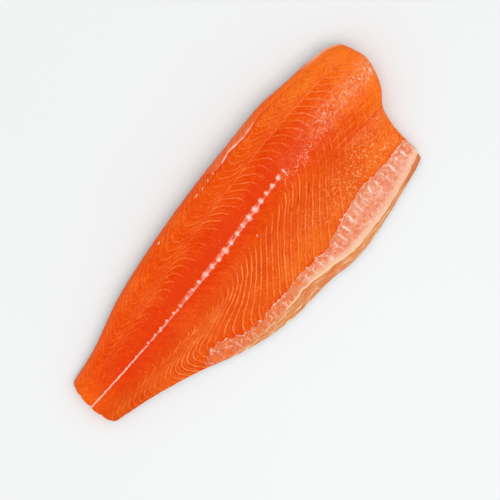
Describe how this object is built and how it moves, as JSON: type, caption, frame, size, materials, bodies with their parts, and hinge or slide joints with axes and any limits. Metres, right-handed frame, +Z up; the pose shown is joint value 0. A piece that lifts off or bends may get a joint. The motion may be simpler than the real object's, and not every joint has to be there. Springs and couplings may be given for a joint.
{
  "type": "raw salmon fillet",
  "caption": "Whole raw side of salmon lying skin side down: thick orange loin, pale belly strip, narrow cut tail, silver skin underneath.",
  "frame": {"origin": "middle of the flat underside, where the skin lies on the surface", "axes": "+X from the tail cut to the head end, +Y from the belly to the back, +Z up out of the cut flesh"},
  "size_m": [0.2869, 0.1129, 0.0234],
  "materials": {
    "flesh": "wet translucent raw muscle, orange, with fine pale lines of connective tissue between its segments",
    "skin": "wet scaled fish skin, blue-grey at the back and silver at the belly"
  },
  "bodies": {
    "root": {"flesh": "flesh", "skin": "skin"}
  },
  "joints": []
}
